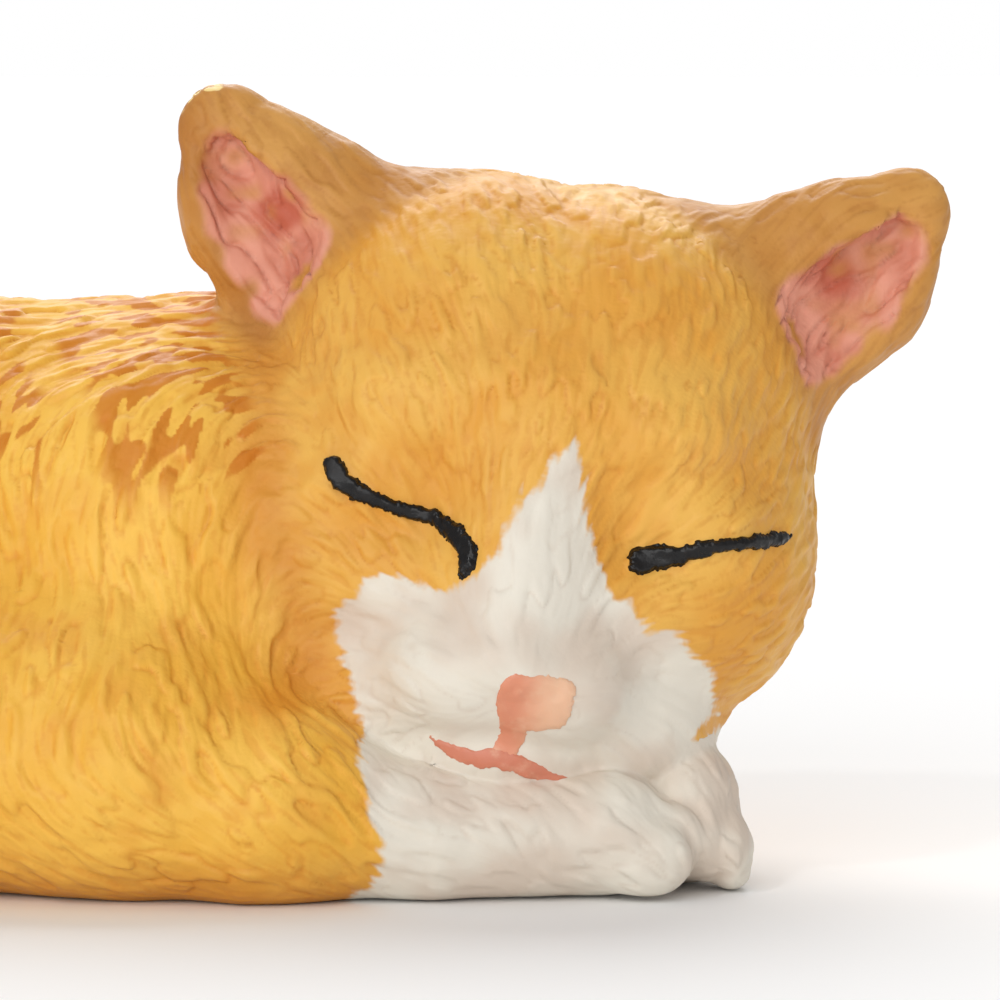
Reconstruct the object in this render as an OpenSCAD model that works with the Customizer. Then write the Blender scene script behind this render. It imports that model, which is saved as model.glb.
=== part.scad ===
// Sleeping cat figurine, lying on its belly with its head on its front paws.
// +X is the way the body points, -Y is the side the face turns to, Z = 0 is the surface it lies on.
// Left and right are the cat's own.

/* [Overall] */
// Length from the rump to the tip of the left ear
overall_length = 74; // [66:1:90]

/* [Body] */
// Width of the torso
body_width = 27; // [22:0.5:34]
// Height of the back above the base
body_height = 25; // [20:0.5:31]
// Sideways place of the torso's centre plane
body_y = 1.5; // [-2:0.5:4]
// Depth by which the belly is flattened to make the base
base_flat = 1.2; // [0.4:0.1:2]
// Wall of the hollow torso
body_wall = 2.6; // [1.5:0.1:4]
// Diameter of the vent hole in the base
vent_d = 3; // [2:0.1:5]

/* [Head] */
// Width across the cheeks
head_width = 24.4; // [20:0.2:29]
// Height from the chin to the top of the skull
head_height = 24.8; // [20:0.2:29]
// Depth from the back of the skull to the brow
head_depth = 22; // [18:0.2:26]
// Clearance height of the chin above the base
chin_z = 4.3; // [3.5:0.1:6]
// Sideways place of the head's centre
head_y = -4; // [-6:0.5:-1]
// Tilt of the head towards its own left shoulder, in degrees
head_roll = 7; // [0:1:12]
// Wall left round the hollow in the head
head_wall = 3.2; // [2:0.1:5]

/* [Neck joint] */
// Turn of the neck from the body's axis towards the face side, in degrees
neck_turn = 30; // [15:1:45]
// Outside diameter of the neck tenon
tenon_d = 8; // [6:0.1:10]
// Inside diameter of the neck tenon
tenon_bore = 4; // [2:0.1:5]
// Length of the neck tenon
tenon_length = 5; // [4:0.1:7]
// Gap between the tenon and its socket, all round and at the end
joint_gap = 0.15; // [0.05:0.01:0.4]

/* [Ears] */
// Height of an ear from the middle of its base to its tip
ear_height = 9.4; // [7.5:0.1:11.5]
// Width of an ear at its base
ear_width = 10.4; // [8:0.1:12.5]
// Thickness of an ear at its base
ear_thickness = 4.6; // [3.6:0.1:5.6]
// Angle of an ear's axis above the horizontal, in degrees
ear_lean = 46; // [35:1:60]
// Wall behind the cup of an ear
ear_wall = 1.5; // [1:0.1:2]

/* [Legs] */
// Thickness of a forearm
forearm_d = 5; // [4:0.1:6]
// Width of a front paw
paw_d = 5.6; // [4.5:0.1:6.8]
// Thickness of the upper arm at the shoulder
shoulder_d = 10; // [8:0.1:12]
// Height of a haunch above the base
haunch_height = 17; // [14:0.5:20]
// Width of a hind foot
hind_foot_d = 5.2; // [4.2:0.1:6.2]

/* [Tail] */
// Thickness of the tail at its root
tail_root_d = 6; // [5:0.1:7]
// Thickness of the tail near its tip
tail_tip_d = 4; // [3:0.1:5]

/* [Raised paint] */
// Height of the thick paint strokes above the surface
stroke_height = 0.35; // [0.2:0.05:0.6]
// Width of an eye stroke
eye_stroke = 0.9; // [0.6:0.1:1.4]
// Width of the mouth stroke
mouth_stroke = 1; // [0.6:0.1:1.4]
// Width of the nose
nose_width = 3; // [2.2:0.1:3.8]

/* [Hidden] */

orange = [0.86, 0.58, 0.25];
deep_orange = [0.78, 0.48, 0.18];
white = [0.92, 0.89, 0.84];
pink = [0.82, 0.52, 0.42];
black = [0.10, 0.09, 0.09];

sides = 32;          // points round a body section
limb_sides = 16;     // points round a leg or the tail
big = 200;           // larger than the figurine in every direction

// ---- places -------------------------------------------------------------------------------
rump_x = -overall_length / 2;
vent_x = -8;                                     // lengthwise place of the vent hole
ear_base = [0.74 * head_width / 2, 0.6, 0.74 * head_height / 2];  // in the upright left half of the head
ear_way = [cos(ear_lean), 0, sin(ear_lean)];
ear_tip_r = 1.6;                                 // rounding of an ear's tip
ear_tip = ear_base + ear_way * (ear_height - ear_tip_r);
ear_reach = ear_tip[0] * cos(head_roll) + ear_tip[2] * sin(head_roll) + ear_tip_r;
head_at = [overall_length / 2 - ear_reach, head_y, chin_z + head_height / 2];
rump_round = 12.5;                               // length over which the rump rounds off
chest_round = 11;                                // length over which the chest rounds off, under the head
chest_x = head_at[0] - 11.5;                     // where the chest starts to round off
neck_way = [cos(neck_turn), -sin(neck_turn), 0]; // from the torso towards the head

// ---- vector helpers -----------------------------------------------------------------------
function unit(v) = v / norm(v);
function at(row) = [row[0], row[1], row[2]];

// ---- a smooth limb or body swept along stations of [x, y, z, half width, half height] ------
function blend4(a, b, c, d, t) =
    0.5 * (2 * b + (c - a) * t + (2 * a - 5 * b + 4 * c - d) * t * t + (3 * b - a - 3 * c + d) * t * t * t);
function station(rows, u) =
    let (i = min(floor(u), len(rows) - 2))
    blend4(rows[max(i - 1, 0)], rows[i], rows[i + 1], rows[min(i + 2, len(rows) - 1)], u - i);
function heading(rows, u) =
    unit(at(station(rows, min(u + 0.02, len(rows) - 1))) - at(station(rows, max(u - 0.02, 0))));
function ring(centre, way, half_w, half_h, n) =
    let (side = unit(cross(way, [0, 0, 1])), up = cross(side, way))
    [for (k = [0:n - 1]) centre + side * half_w * cos(360 * k / n) + up * half_h * sin(360 * k / n)];
function end_ring(rows, u, dir, cap, a, n) =
    let (s = station(rows, u), way = heading(rows, u))
    ring(at(s) + way * dir * cap * sin(a), way, s[3] * cos(a), s[4] * cos(a), n);

module swept(rows, steps, n, cap_start, cap_end) {
    last = len(rows) - 1;
    cap_angles = [22, 42, 60, 75];
    rings = concat(
        [for (i = [3:-1:0]) end_ring(rows, 0, -1, cap_start, cap_angles[i], n)],
        [for (i = [0:steps * last]) let (u = i / steps, s = station(rows, u))
            ring(at(s), heading(rows, u), s[3], s[4], n)],
        [for (i = [0:3]) end_ring(rows, last, 1, cap_end, cap_angles[i], n)]);
    closed_skin(rings, n);
}

// Closes a stack of rings, each of n points, with a flat cap at both ends
module closed_skin(rings, n) {
    count = len(rings);
    points = [for (r = rings) for (p = r) p];
    walls = [for (i = [0:count - 2]) for (k = [0:n - 1])
        let (a = i * n + k, b = i * n + (k + 1) % n)
        for (f = [[a, b, a + n], [b, b + n, a + n]]) f];
    first = [for (k = [n - 1:-1:0]) k];
    end = [for (k = [0:n - 1]) (count - 1) * n + k];
    polyhedron(points, concat(walls, [first], [end]));
}

module above_base() {
    intersection() {
        children();
        translate([-big / 2, -big / 2, 0]) cube(big);
    }
}

// A form with its neighbours' shapes taken out of it, so that it seats on them
module carved() {
    difference() {
        children(0);
        children([1:$children - 1]);
    }
}

// ---- torso --------------------------------------------------------------------------------
// Stations of the torso, smaller all round by inset
function torso_rows(inset) =
    let (w = body_width / 2 - inset, h = (body_height + base_flat) / 2 - inset,
        z = (body_height - base_flat) / 2)
    [
        [rump_x + rump_round, body_y + 0.5, z - 0.8, w * 0.92, h * 0.94],
        [rump_x + 24, body_y, z, w, h],
        [chest_x - 9, body_y, z, w, h],
        [chest_x, body_y - 1, z - 0.6, w * 0.95, h * 0.96],
    ];

module torso_form(inset, n) {
    swept(torso_rows(inset), 4, n, rump_round - inset, chest_round - inset);
}

module neck_frame() {
    translate(head_at) rotate([0, 90, -neck_turn]) children();
}

module torso() {
    color(orange) difference() {
        above_base() torso_form(0, sides);
        in_head() head_skin();
        intersection() {
            torso_form(body_wall, limb_sides);
            translate([-big / 2, -big / 2, body_wall]) cube(big);
            neck_frame() translate([-big / 2, -big / 2, -neck_seat - body_wall - big]) cube(big);
        }
        neck_frame() translate([0, 0, -neck_seat - tenon_length - joint_gap])
            cylinder(d = tenon_d + 2 * joint_gap, h = tenon_length + joint_gap + tenon_d / 2, $fn = 48);
        translate([vent_x, body_y, -1]) cylinder(d = vent_d, h = body_wall + 2, $fn = 48);
    }
}

// ---- head ---------------------------------------------------------------------------------
// Rounded masses of the head, [centre, half sizes], measured from its centre with the head upright
hw = head_width / 2;
hh = head_height / 2;
hd = head_depth / 2;
masses = [
    [[0, 0.1 * hd, 0.1 * hh], [0.97 * hw, hd, 0.9 * hh]],
    [[-0.36 * hw, -0.2 * hd, -0.28 * hh], [0.64 * hw, 0.72 * hd, 0.58 * hh]],
    [[0.36 * hw, -0.2 * hd, -0.28 * hh], [0.64 * hw, 0.72 * hd, 0.58 * hh]],
    [[-0.16 * hw, -0.72 * hd, -0.5 * hh], [0.3 * hw, 0.48 * hd, 0.3 * hh]],
    [[0.16 * hw, -0.72 * hd, -0.5 * hh], [0.3 * hw, 0.48 * hd, 0.3 * hh]],
    [[0, -0.62 * hd, -0.1 * hh], [0.22 * hw, 0.48 * hd, 0.5 * hh]],
    [[0, -0.56 * hd, -0.78 * hh], [0.3 * hw, 0.42 * hd, 0.22 * hh]],
];
soft = 0.45;         // roundness of the valleys between the masses

// Distance along the direction d at which a ray from the head's centre leaves a mass
function leaves(mass, d) =
    let (c = [for (i = [0:2]) mass[0][i] / mass[1][i]], v = [for (i = [0:2]) d[i] / mass[1][i]],
        a = v * v, b = v * c, q = b * b - a * (c * c - 1))
    q > 0 ? (b + sqrt(q)) / a : 0;
function total(list, i = 0) = i < len(list) ? list[i] + total(list, i + 1) : 0;
function head_radius(d) =
    let (r = [for (m = masses) leaves(m, d)], top = max(r))
    top + soft * ln(total([for (x = r) exp((x - top) / soft)]));
function facing(turn, lift) = [sin(turn) * cos(lift), -cos(turn) * cos(lift), sin(lift)];

// Distance from the head's centre to the back of the skull, where the neck joins
neck_seat = head_radius([-cos(neck_turn) * cos(head_roll), sin(neck_turn), -cos(neck_turn) * sin(head_roll)]);

module head_skin() {
    n = 44;
    rings = [for (lift = [-84:6:84]) [for (k = [0:n - 1])
        let (d = facing(-360 * k / n, lift)) d * head_radius(d)]];
    closed_skin(rings, n);
}

module in_head() {
    translate(head_at) rotate([0, head_roll, 0]) children();
}

module head() {
    color(orange) difference() {
        union() {
            in_head() head_skin();
            neck_frame() translate([0, 0, -neck_seat - tenon_length])
                cylinder(d = tenon_d, h = tenon_length + head_wall / 2, $fn = 48);
        }
        translate(head_at) sphere(r = neck_seat - head_wall, $fn = 48);
        neck_frame() translate([0, 0, -neck_seat - tenon_length - 1])
            cylinder(d = tenon_bore, h = neck_seat + tenon_length + 1, $fn = 48);
    }
}

// ---- ears ---------------------------------------------------------------------------------
// side is 1 for the left ear and -1 for the right one
module ear(side) {
    across = [ear_way[2], 0, -ear_way[0]];
    thick = ear_thickness / 2;
    half = ear_width / 2 - thick;
    cup_r = 1.4;
    carved() {
        in_head() scale([side, 1, 1]) hull() {
            for (k = [-1, 1]) translate(ear_base - ear_way * 3 + across * half * k) sphere(r = thick, $fn = 24);
            translate(ear_base + ear_way * 2.4 + [0, 0.8, 0]) sphere(r = thick + 0.5, $fn = 24);
            translate(ear_tip) sphere(r = ear_tip_r, $fn = 24);
        }
        in_head() scale([side, 1, 1]) translate([0, -ear_wall, 0]) hull() {
            for (k = [-1, 1]) translate(ear_base + across * (half - 0.6) * k) sphere(r = cup_r, $fn = 16);
            translate(ear_tip - ear_way * 2.4) sphere(r = cup_r / 2, $fn = 16);
            translate(ear_base + ear_way * 3 - [0, 5, 0]) sphere(r = 2 * cup_r, $fn = 16);
        }
        in_head() head_skin();
        torso_form(0, sides);
    }
}

module ear_right() color(orange) ear(-1);
module ear_left() color(orange) ear(1);

// ---- legs ---------------------------------------------------------------------------------
forearm_z = forearm_d / 2 - 0.1;
paw_z = paw_d / 2 - 0.1;

// An upper arm joined to its forearm, the first child, and seated on a second child if there is one
module foreleg(upper_arm) {
    others = $children;
    carved() {
        above_base() {
            swept(upper_arm, 6, limb_sides, shoulder_d / 2.5, shoulder_d / 3);
            children(0);
        }
        torso_form(0, sides);
        in_head() head_skin();
        if (others > 1) children(1);
    }
}

module forearm(rows) {
    swept(rows, 4, limb_sides, forearm_d / 2, paw_d / 2);
}

module near_forearm() {
    flank = body_y - body_width / 2;
    forearm([
        [head_at[0] - 19, flank - 0.5, forearm_z + 0.8, forearm_d / 1.8, forearm_d / 1.6],
        [head_at[0] - 12, flank - 0.8, forearm_z + 0.4, forearm_d / 1.9, forearm_d / 1.8],
        [head_at[0] - 4, flank - 0.8, forearm_z, forearm_d / 2, forearm_d / 2],
        [head_at[0] + 3.5, flank + 0.5, paw_z, paw_d / 2, paw_d / 2],
    ]);
}

// It crosses under the chin, so that its paw lies beyond the tip of the near one
module far_forearm() {
    flank = body_y + body_width / 2;
    forearm([
        [head_at[0] - 13, flank - 0.5, forearm_z + 0.8, forearm_d / 1.8, forearm_d / 1.6],
        [head_at[0] - hw / 3, flank - 3, forearm_z + 0.4, forearm_d / 1.9, forearm_d / 1.8],
        [head_at[0] + hw / 3, flank - 12, forearm_z, forearm_d / 2, forearm_d / 2],
        [head_at[0] + hw / 2, flank - 24, paw_z + 0.4, paw_d / 2, paw_d / 2 + 0.4],
    ]);
}

module foreleg_right() {
    flank = body_y - body_width / 2;
    arm = shoulder_d / 2;
    color(white) foreleg([
        [head_at[0] - 16, flank + 2, 12.5, arm, arm],
        [head_at[0] - 18, flank, arm - 0.8, arm * 0.9, arm * 0.9],
    ]) near_forearm();
}

module foreleg_left() {
    flank = body_y + body_width / 2;
    arm = shoulder_d / 2;
    color(white) foreleg([
        [head_at[0] - 15, flank - 2, 12, arm, arm],
        [head_at[0] - 14, flank - 1, arm - 0.8, arm * 0.9, arm * 0.9],
    ]) {
        far_forearm();
        near_forearm();
    }
}

// side is 1 for the left leg and -1 for the right one
module haunch(side) {
    flank = body_y + side * body_width / 2;
    r = haunch_height / 2;
    swept([
        [rump_x + 11, flank - side * 4, r, r * 0.8, r * 0.86],
        [rump_x + 18, flank - side * 3.2, r, r * 0.84, r * 0.96],
        [rump_x + 24, flank - side * 3, r - 1.5, r * 0.7, r * 0.74],
    ], 4, sides, 5, 5);
}

module hind_foot(side) {
    flank = body_y + side * body_width / 2;
    r = hind_foot_d / 2;
    swept([
        [rump_x + 13, flank - side * 1.5, r - 0.1, r, r],
        [rump_x + 22, flank + side * 1, r - 0.1, r, r],
        [rump_x + 28, flank + side * 0.8, r - 0.1, r, r * 0.95],
    ], 3, limb_sides, r, r);
}

module hind_leg(side) {
    carved() {
        above_base() {
            haunch(side);
            hind_foot(side);
        }
        torso_form(0, sides);
    }
}

module hind_leg_right() color(orange) hind_leg(-1);
module hind_leg_left() color(orange) hind_leg(1);

// ---- tail ---------------------------------------------------------------------------------
module tail() {
    near = body_y - body_width / 2 - hind_foot_d;
    root = tail_root_d / 2;
    tip = tail_tip_d / 2;
    color(deep_orange) carved() {
        above_base() swept([
            [rump_x + 4, body_y + 1, root + 1.5, root, root],
            [rump_x + 3.2, body_y - 8, root, root, root],
            [rump_x + 9, near + 2.5, root - 0.3, root, root],
            [rump_x + 19, near + 0.6, tip + 0.2, tip + 0.3, tip + 0.3],
            [rump_x + 28, near + 0.6, tip - 0.1, tip, tip],
        ], 4, limb_sides, 2, tip * 1.5);
        torso_form(0, sides);
        haunch(-1);
        hind_foot(-1);
    }
}

// ---- raised paint -------------------------------------------------------------------------
// A bead of thick paint through points of [turn, lift, half width] on the face
module bead(points, tall) {
    rows = [for (p = points) let (d = facing(p[0], p[1])) concat(d * head_radius(d), [tall, p[2]])];
    in_head() swept(rows, 3, 12, points[0][2] * 0.8, points[len(points) - 1][2] * 0.8);
}

module paint(points) {
    carved() {
        bead(points, stroke_height);
        in_head() head_skin();
    }
}

module eye_line_right() {
    e = eye_stroke / 2;
    color(black) paint([[-44, 5, e], [-36, 0, e * 1.1], [-26, -2, e], [-17, -3, e], [-13, -9, e]]);
}

module eye_line_left() {
    e = eye_stroke / 2;
    color(black) paint([[15, -8, e * 1.2], [26, -5, e], [40, -1, e * 0.8]]);
}

module nose() {
    side = atan(nose_width / 2 / head_depth * 1.6);
    color(pink) paint([[-side, -24, 0.9], [-1, -25, 1.1], [side, -24, 0.8]]);
}

module mouth() {
    m = mouth_stroke / 2;
    color(pink) paint([[-20, -38, m], [-8, -42, m], [6, -43, m], [14, -46, m]]);
}

torso();
head();
ear_right();
ear_left();
foreleg_right();
foreleg_left();
hind_leg_right();
hind_leg_left();
tail();
eye_line_right();
eye_line_left();
nose();
mouth();
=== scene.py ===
import math

import bpy
import numpy as np
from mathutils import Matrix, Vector


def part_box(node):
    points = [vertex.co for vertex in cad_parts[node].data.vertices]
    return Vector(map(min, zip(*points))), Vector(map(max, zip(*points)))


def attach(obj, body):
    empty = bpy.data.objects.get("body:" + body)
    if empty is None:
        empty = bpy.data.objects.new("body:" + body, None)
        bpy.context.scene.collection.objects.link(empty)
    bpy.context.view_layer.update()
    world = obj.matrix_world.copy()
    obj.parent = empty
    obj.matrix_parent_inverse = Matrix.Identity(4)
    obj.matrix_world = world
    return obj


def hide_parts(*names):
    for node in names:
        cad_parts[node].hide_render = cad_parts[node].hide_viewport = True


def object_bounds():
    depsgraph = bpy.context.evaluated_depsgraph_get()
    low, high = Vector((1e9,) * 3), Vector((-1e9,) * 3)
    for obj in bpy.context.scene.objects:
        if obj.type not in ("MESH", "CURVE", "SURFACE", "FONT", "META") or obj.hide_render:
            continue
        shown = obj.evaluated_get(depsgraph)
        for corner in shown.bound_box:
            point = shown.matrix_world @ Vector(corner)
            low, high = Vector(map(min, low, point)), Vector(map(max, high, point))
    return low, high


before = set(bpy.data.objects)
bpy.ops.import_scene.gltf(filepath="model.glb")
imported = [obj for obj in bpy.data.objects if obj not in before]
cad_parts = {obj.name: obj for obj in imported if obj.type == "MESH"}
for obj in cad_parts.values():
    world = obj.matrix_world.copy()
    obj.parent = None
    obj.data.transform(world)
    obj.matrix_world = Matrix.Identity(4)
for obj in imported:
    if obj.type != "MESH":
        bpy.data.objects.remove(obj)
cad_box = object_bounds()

# The cat is one smooth form, a blend of rounded masses held as a distance field in millimetres. The form is
# meshed once, carved with fur along the lie of the coat, and cut into its castings where they meet. Paint is
# worked out on the same surface, as one mask for each colour, and the coat's material mixes the colours.
MM = 0.001
F32 = np.float32

# ---- places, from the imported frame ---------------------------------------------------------


def node_box(name):
    lo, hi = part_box(name)
    return np.array(lo) / MM, np.array(hi) / MM


head_lo, head_hi = node_box("head")
torso_lo, torso_hi = node_box("torso")
ALL_LO, ALL_HI = np.array(cad_box[0]) / MM, np.array(cad_box[1]) / MM

HEAD_HALF = 12.3                      # half width over the cheeks
MUZZLE_REACH = 12.6                   # head's centre to the front of the muzzle
HEAD = np.array([head_hi[0] - HEAD_HALF, head_lo[1] + MUZZLE_REACH, (head_lo[2] + head_hi[2]) / 2])
HEAD_ROLL = math.radians(7)
RUMP = ALL_LO[0]
MID_Y = (torso_lo[1] + torso_hi[1]) / 2
NEAR = ALL_LO[1]

# ---- noise ---------------------------------------------------------------------------------
LATTICE = 48
NOISE_SPREAD = 0.36     # standard deviation of noise()
_tables = {}


def noise(p, cell, seed):
    """Smooth random values, about -1 to 1, that change over cell millimetres. Each use has its own seed."""
    if seed not in _tables:
        _tables[seed] = np.random.default_rng(seed).uniform(-1, 1, (LATTICE,) * 3).astype(F32)
    table = _tables[seed]
    q = p / F32(cell)
    i = np.floor(q).astype(np.int32)
    f = (q - i).astype(F32)
    f = f * f * (3 - 2 * f)
    i %= LATTICE
    j = (i + 1) % LATTICE
    out = 0
    for bx in (0, 1):
        wx = f[:, 0] if bx else 1 - f[:, 0]
        ix = (j if bx else i)[:, 0]
        for by in (0, 1):
            wy = wx * (f[:, 1] if by else 1 - f[:, 1])
            iy = (j if by else i)[:, 1]
            for bz in (0, 1):
                wz = wy * (f[:, 2] if bz else 1 - f[:, 2])
                out = out + wz * table[ix, iy, (j if bz else i)[:, 2]]
    return out


def streaks(p, way, cell, length, seed, steps=9, lag=0.25):
    """Noise smeared along the lie of the coat, so that it makes tufts of that length; spread is about 1."""
    out, weight = 0, 0
    for s in np.linspace(-0.5, 0.5, steps):
        w = math.cos(math.pi * s) ** 2 * (1 + lag * 2 * s)
        out = out + w * noise(p + way * F32(s * length), cell, seed)
        weight += w * w
    return out / (NOISE_SPREAD * math.sqrt(weight * max(1.0, cell * steps / length)))


# ---- distance fields -----------------------------------------------------------------------


def norm(v):
    return np.sqrt(np.einsum("ij,ij->i", v, v))


def unit(v):
    return v / np.maximum(norm(v), 1e-9)[:, None]


def step(a, b, x):
    t = np.clip((x - a) / (b - a), 0, 1)
    return t * t * (3 - 2 * t)


def ball(p, centre, radii):
    """An ellipsoid. The distance is near enough true close to its surface."""
    q = (p - np.array(centre, F32)) / np.array(radii, F32)
    k0 = norm(q)
    k1 = np.maximum(norm(q / np.array(radii, F32)), 1e-6)
    return k0 * (k0 - 1) / k1


def limb(p, a, b, ra, rb):
    """A rounded rod from a to b."""
    a, b = np.array(a, F32), np.array(b, F32)
    ab = b - a
    t = np.clip((p - a) @ ab / (ab @ ab), 0, 1)
    return norm(p - a - t[:, None] * ab) - (ra + (rb - ra) * t)


def chain(p, joints, k):
    """Rounded rods through joints of (x, y, z, radius)."""
    out = None
    for a, b in zip(joints, joints[1:]):
        d = limb(p, a[:3], b[:3], a[3], b[3])
        out = d if out is None else join(out, d, k)
    return out


def join(a, b, k):
    """Two fields as one, blended over about k."""
    h = np.clip(0.5 + 0.5 * (b - a) / k, 0, 1)
    return b + (a - b) * h - k * h * (1 - h)


def cut(a, b, k):
    """Takes b out of a."""
    return -join(-a, b, k)


def to_head(p):
    """Figurine millimetres to the upright head's own, x towards its left, y back and z up."""
    q = p - HEAD.astype(F32)
    c, s = math.cos(HEAD_ROLL), math.sin(HEAD_ROLL)
    return np.stack([q[:, 0] * c - q[:, 2] * s, q[:, 1], q[:, 0] * s + q[:, 2] * c], 1).astype(F32)


def turn_from_head(d):
    c, s = math.cos(HEAD_ROLL), math.sin(HEAD_ROLL)
    return np.stack([d[:, 0] * c + d[:, 2] * s, d[:, 1], -d[:, 0] * s + d[:, 2] * c], 1).astype(F32)


def head_field(q):
    """The head without its ears. Balls are given by centre and radii, and the last number is the blend."""
    m = q.copy()
    m[:, 0] = np.sqrt(m[:, 0] ** 2 + 0.6)     # mirrored, with no crease down the middle
    d = ball(m, (2.6, 1.2, 2.6), (9.4, 10.4, 10.1))                       # skull
    d = join(d, ball(m, (5.8, -1.4, -2.8), (6.9, 8.2, 7.2)), 2.0)         # cheek
    d = join(d, ball(q, (-9.0, -1.6, -2.6), (5.0, 5.5, 5.6)), 3.0)        # neck fur behind the right cheek
    d = join(d, ball(m, (0, -4.0, -5.0), (7.4, 7.2, 6.2)), 2.0)           # jaw
    d = join(d, ball(m, (4.6, -7.0, 3.0), (3.6, 2.6, 2.4)), 1.6)          # brow
    d = cut(d, ball(m, (6.4, -11.9, -1.2), (3.6, 3.0, 1.9)), 1.6)         # eye hollow
    d = join(d, ball(m, (6.4, -6.9, -0.6), (3.3, 2.4, 2.3)), 0.9)         # closed eye
    d = join(d, limb(m, (0, -7.2, 3.4), (0, -10.6, -5.4), 3.0, 2.0), 2.2)  # bridge of the nose
    d = join(d, ball(m, (1.9, -9.5, -7.7), (3.3, 3.1, 2.6)), 1.4)         # muzzle pad
    d = join(d, ball(m, (0, -12.0, -6.9), (1.7, 1.1, 1.2)), 0.9)          # nose tip
    d = join(d, ball(m, (0, -8.4, -10.9), (3.9, 2.7, 1.9)), 1.0)          # chin
    return join(d, ball(m, (4.6, -4.4, -9.6), (4.6, 5.4, 3.6)), 1.8)      # ruff under the cheek


# An ear, in the left half of the upright head: a flattened cone from root to tip, with a cup in its front
EAR_ROOT, EAR_ROOT_R = np.array([8.7, 0.3, 7.7], F32), 5.3
EAR_MID, EAR_MID_R = np.array([12.4, 0.5, 10.3], F32), 3.75
EAR_TIP, EAR_TIP_R = np.array([14.7, 0.7, 13.1], F32), 1.95
CUP_ROOT, CUP_ROOT_R = np.array([11.8, -2.1, 8.0], F32), 2.5
CUP_TIP, CUP_TIP_R = np.array([14.3, -0.3, 11.7], F32), 1.2
EAR_FLAT = np.array([1, 1.75, 1], F32)    # how much thinner than wide
EAR_STRETCH = 1.35                        # evens out the distances that the flattening stretches
EAR_WAY = (EAR_TIP - EAR_ROOT) / np.linalg.norm(EAR_TIP - EAR_ROOT)


def cup_field(q, side):
    """The hollow in the front of an ear; side is -1 for the right ear and 1 for the left."""
    m = q * np.array([side, 1, 1], F32) * EAR_FLAT
    return limb(m, CUP_ROOT * EAR_FLAT, CUP_TIP * EAR_FLAT, CUP_ROOT_R, CUP_TIP_R) / EAR_STRETCH


def ear_field(q, side):
    """A cupped ear."""
    m = q * np.array([side, 1, 1], F32) * EAR_FLAT
    stations = [(EAR_ROOT, EAR_ROOT_R), (EAR_MID, EAR_MID_R), (EAR_TIP, EAR_TIP_R)]
    shell = chain(m, [(*(at * EAR_FLAT), r) for at, r in stations], 1.5) / EAR_STRETCH
    return cut(shell, cup_field(q, side), 0.7)


def torso_field(p):
    """The body from rump to neck, without limbs."""
    d = ball(p, (RUMP + 13.2, MID_Y, 11.2), (13.0, 13.2, 12.8))                             # rump
    d = join(d, ball(p, (RUMP + 27, MID_Y, 11.6), (17.0, 13.4, 12.9)), 4.0)                # belly
    d = join(d, ball(p, (RUMP + 42, MID_Y - 1.2, 11.4), (14.5, 12.8, 12.9)), 4.0)          # chest
    return join(d, ball(p, (HEAD[0] - 15.5, MID_Y - 10.2, 12.5), (7.5, 5.0, 9.0)), 3.0)    # near shoulder


def foreleg_right_field(p):
    """The near foreleg, from shoulder to paw along the front of the figurine, with four toes."""
    x, y = HEAD[0], NEAR + 4.6
    d = chain(p, [(x - 24, y + 3.2, 6.2, 6.6), (x - 17, y + 1.6, 5.4, 5.9), (x - 11, y + 0.2, 3.8, 4.4),
                  (x - 4, y, 2.5, 2.6), (x - 0.8, y + 0.2, 2.5, 2.3), (x + 3.1, y + 0.5, 2.6, 2.7)], 1.5)
    for dx, dy, dz in [(4.8, -1.5, 1.7), (5.4, -0.2, 2.3), (5.2, 1.3, 2.5), (4.3, 2.4, 2.2)]:
        d = join(d, ball(p, (x + dx, y + dy + 0.4, dz), (1.9, 1.1, 1.6)), 0.6)
    return d


def foreleg_left_field(p):
    """The far foreleg: elbow behind the head, and the paw past the end of the near one, with four toes."""
    x, y = HEAD[0], MID_Y
    d = chain(p, [(x - 14, y + 12.0, 7, 6.0), (x - 10, y + 11.8, 3.6, 4.2), (x + 1, y + 3, 2.7, 2.8),
                  (x + 5.6, y - 8.0, 3.6, 2.7)], 1.5)
    d = join(d, ball(p, (x + 6.5, y - 12.0, 3.1), (2.4, 3.4, 3.1)), 0.8)
    for dx, dz in [(-1.6, 1.5), (-0.5, 2.1), (0.7, 2.1), (1.8, 1.5)]:
        d = join(d, ball(p, (x + 6.6 + dx, y - 14.4 + abs(dx) * 0.4, dz), (0.95, 1.8, 1.7)), 0.6)
    return d


def hind_leg_field(p, side):
    """Haunch, knee, and foot with four toes; side is -1 for the near leg and 1 for the far one."""
    y = MID_Y + side * 10.2
    d = ball(p, (RUMP + 17, y, 8.6), (9.6, 6.2, 8.4))
    d = join(d, ball(p, (RUMP + 24.5, y + side * 1.2, 5.6), (4.6, 4.2, 5.2)), 2.5)
    foot = y + side * 3.0
    d = join(d, limb(p, (RUMP + 15, foot - side, 2.2), (RUMP + 26, foot, 2.3), 2.3, 2.5), 1.0)
    for dy, dz in [(-1.7, 1.7), (-0.6, 2.3), (0.7, 2.3), (1.8, 1.6)]:
        d = join(d, ball(p, (RUMP + 28.2 - abs(dy) * 0.3, foot + dy, dz), (1.8, 0.9, 1.4)), 0.4)
    return d


def tail_field(p):
    """From behind the rump forwards along the near haunch."""
    y = NEAR + 2.6
    return chain(p, [(RUMP + 4.0, MID_Y - 1, 4.6, 3.2), (RUMP + 3.4, MID_Y - 9, 3.2, 3.0),
                     (RUMP + 9.5, y + 2.0, 2.7, 2.8), (RUMP + 19, y, 2.4, 2.5),
                     (RUMP + 27.5, y + 0.1, 2.0, 2.05)], 1.2)


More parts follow.
